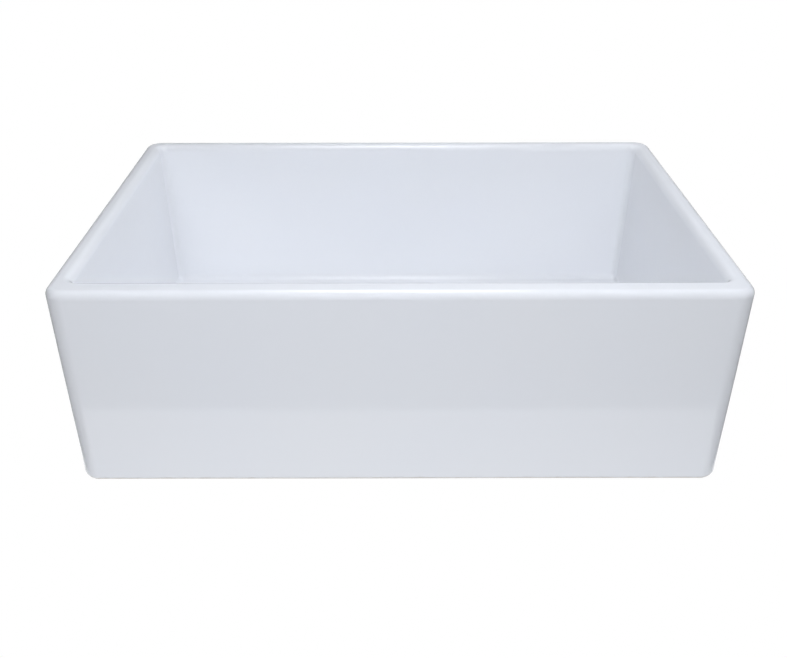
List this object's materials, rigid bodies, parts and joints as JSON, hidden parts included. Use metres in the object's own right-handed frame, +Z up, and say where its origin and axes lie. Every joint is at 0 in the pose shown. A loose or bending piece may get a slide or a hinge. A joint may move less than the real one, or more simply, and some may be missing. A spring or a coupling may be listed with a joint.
{
  "type": "farmhouse apron front sink",
  "caption": "Single-basin farmhouse kitchen sink in white glazed fireclay with a plain apron and a lift-out basket strainer, slip joint and tailpiece.",
  "frame": {"origin": "on the drain's axis, in the plane of the bearing band under the bowl", "axes": "+Z up out of the basin, -Y out of the apron's face, +X to the right of someone at the sink"},
  "size_m": [0.762, 0.508, 0.4206],
  "materials": {
    "glazed_fireclay": "gloss",
    "putty": "matte",
    "polished_stainless": "polished",
    "stainless": "satin",
    "brass": "satin",
    "black_rubber": "matte",
    "fibre_board": "matte",
    "cast_zinc": "satin",
    "white_poly": "satin",
    "chromed_tube": "polished"
  },
  "bodies": {
    "root": {"sink_bowl": "glazed_fireclay", "putty_ring": "putty", "strainer_body": "polished_stainless", "cross_bar": "stainless", "outlet_spigot": "brass", "under_gasket": "black_rubber", "friction_ring": "fibre_board", "locknut": "cast_zinc", "tailpiece_washer": "white_poly", "tailpiece": "chromed_tube", "coupling_nut": "chromed_tube"},
    "stopper": {"basket_post": "polished_stainless", "cup_retaining_ring": "stainless", "pull_knob": "polished_stainless", "stopper_seal": "black_rubber", "seal_washer": "stainless", "post_nut": "brass"},
    "basket": {"basket_cup": "stainless"}
  },
  "joints": [
    {"name": "basket_lift", "type": "slide", "parent": "root", "child": "stopper", "axis": [0, 0, 1], "range_m": [0, 0.32]},
    {"name": "basket_turn", "type": "hinge", "parent": "stopper", "child": "basket", "pos_m": [0, 0, 0], "axis": [0, 0, 1], "continuous": true}
  ]
}
